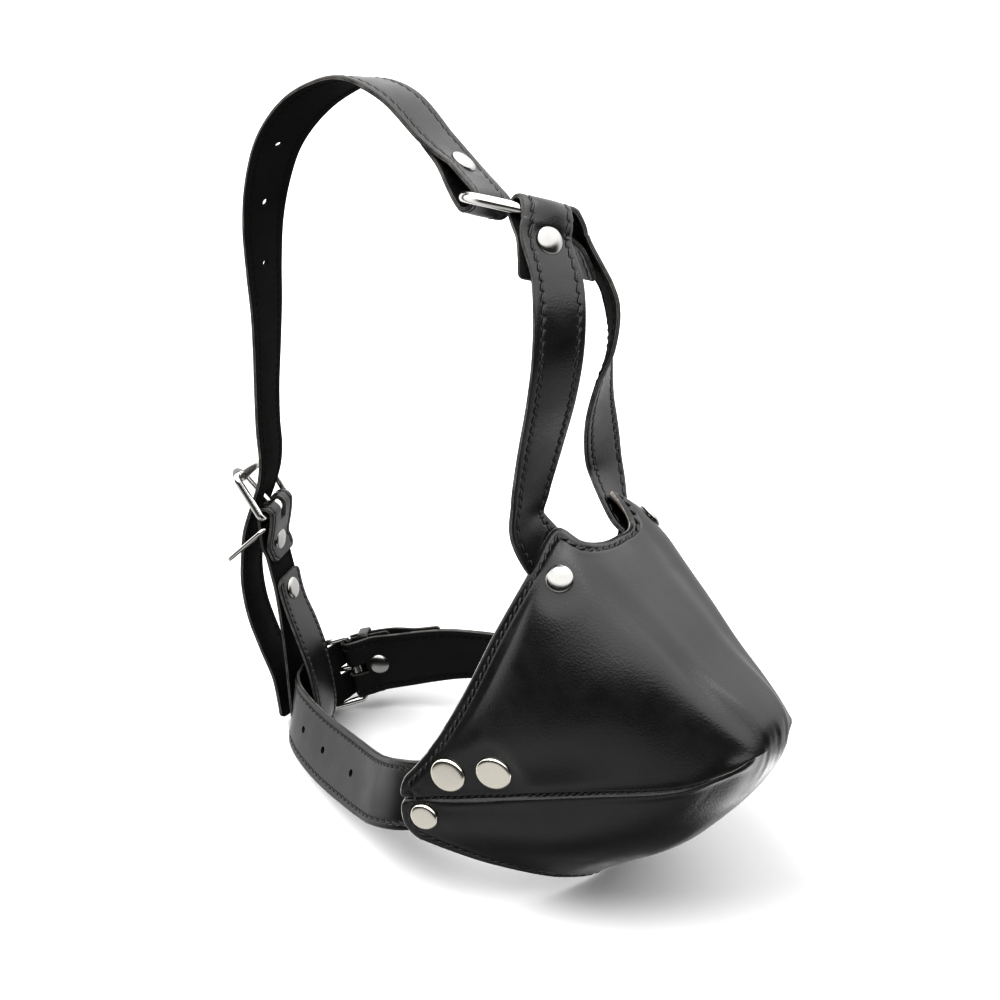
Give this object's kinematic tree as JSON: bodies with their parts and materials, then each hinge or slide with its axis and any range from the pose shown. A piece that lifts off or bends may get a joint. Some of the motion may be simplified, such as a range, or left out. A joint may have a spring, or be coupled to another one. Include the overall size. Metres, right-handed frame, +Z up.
{
  "type": "leather muzzle with head harness",
  "caption": "Closed leather muzzle cup with sewn cheek darts, held by nose straps on a forehead ring, a head strap and a neck strap with roller buckles",
  "frame": {"origin": "middle of the footprint, on the surface it stands on", "axes": "+Z up, -Y towards the front of the cup, -X towards the cheek with the long neck strap"},
  "size_m": [0.1153, 0.2439, 0.2731],
  "materials": {
    "leather": "smooth semi-gloss black",
    "lining_leather": "matte black",
    "nickel": "bright nickel plate",
    "nickel_cap": "pale nickel plate"
  },
  "bodies": {
    "muzzle": {"cup_outer": "leather", "cup_lining": "lining_leather", "cheek_rivets_large": "nickel_cap", "cheek_rivets_small": "nickel_cap", "ear_rivets": "nickel", "nose_strap_left": "leather", "nose_strap_right": "leather", "nose_strap_rivets": "nickel", "head_strap": "leather", "head_strap_rivet": "nickel", "back_strap": "leather", "back_strap_rivets": "nickel", "neck_strap_left": "leather", "neck_strap_right": "leather", "neck_keeper": "leather", "neck_buckle_rivet": "nickel"},
    "forehead_ring": {"forehead_ring": "nickel"},
    "head_buckle": {"head_buckle_frame": "nickel"},
    "head_roller": {"head_buckle_roller": "nickel"},
    "head_prong": {"head_buckle_prong": "nickel"},
    "keeper": {"wire_keeper": "nickel"},
    "neck_buckle": {"neck_buckle_frame": "nickel"},
    "neck_roller": {"neck_buckle_roller": "nickel"},
    "neck_prong": {"neck_buckle_prong": "nickel"}
  },
  "joints": [
    {"name": "forehead_ring_spin", "type": "hinge", "parent": "muzzle", "child": "forehead_ring", "pos_m": [-0.0002, -0.0158, 0.2401], "axis": [0.3584, 0, 0.9336], "continuous": true},
    {"name": "head_buckle_tilt", "type": "hinge", "parent": "muzzle", "child": "head_buckle", "pos_m": [-0.0012, 0.1022, 0.1001], "axis": [-0.9404, -0.3401, 0], "range_deg": [-2, 2]},
    {"name": "head_roller_spin", "type": "hinge", "parent": "head_buckle", "child": "head_roller", "pos_m": [-0.00443, 0.11113, 0.11655], "axis": [-0.9404, -0.3401, 0], "continuous": true},
    {"name": "head_prong_lift", "type": "hinge", "parent": "head_buckle", "child": "head_prong", "pos_m": [-0.0012, 0.1022, 0.1001], "axis": [-0.9404, -0.3401, 0], "range_deg": [0, 4]},
    {"name": "keeper_swing", "type": "hinge", "parent": "muzzle", "child": "keeper", "pos_m": [-0.00132, 0.10253, 0.0948], "axis": [0.9404, 0.3401, 0], "range_deg": [0, 40]},
    {"name": "neck_buckle_tilt", "type": "hinge", "parent": "muzzle", "child": "neck_buckle", "pos_m": [0.0218, 0.0841, 0.0194], "axis": [0.0522, -0.2834, -0.9576], "range_deg": [-1.5, 1.5]},
    {"name": "neck_roller_spin", "type": "hinge", "parent": "neck_buckle", "child": "neck_roller", "pos_m": [0.01179, 0.094, 0.01592], "axis": [0.0522, -0.2834, -0.9576], "continuous": true},
    {"name": "neck_prong_lift", "type": "hinge", "parent": "neck_buckle", "child": "neck_prong", "pos_m": [0.0218, 0.0841, 0.0194], "axis": [0.0522, -0.2834, -0.9576], "range_deg": [0, 4]}
  ]
}
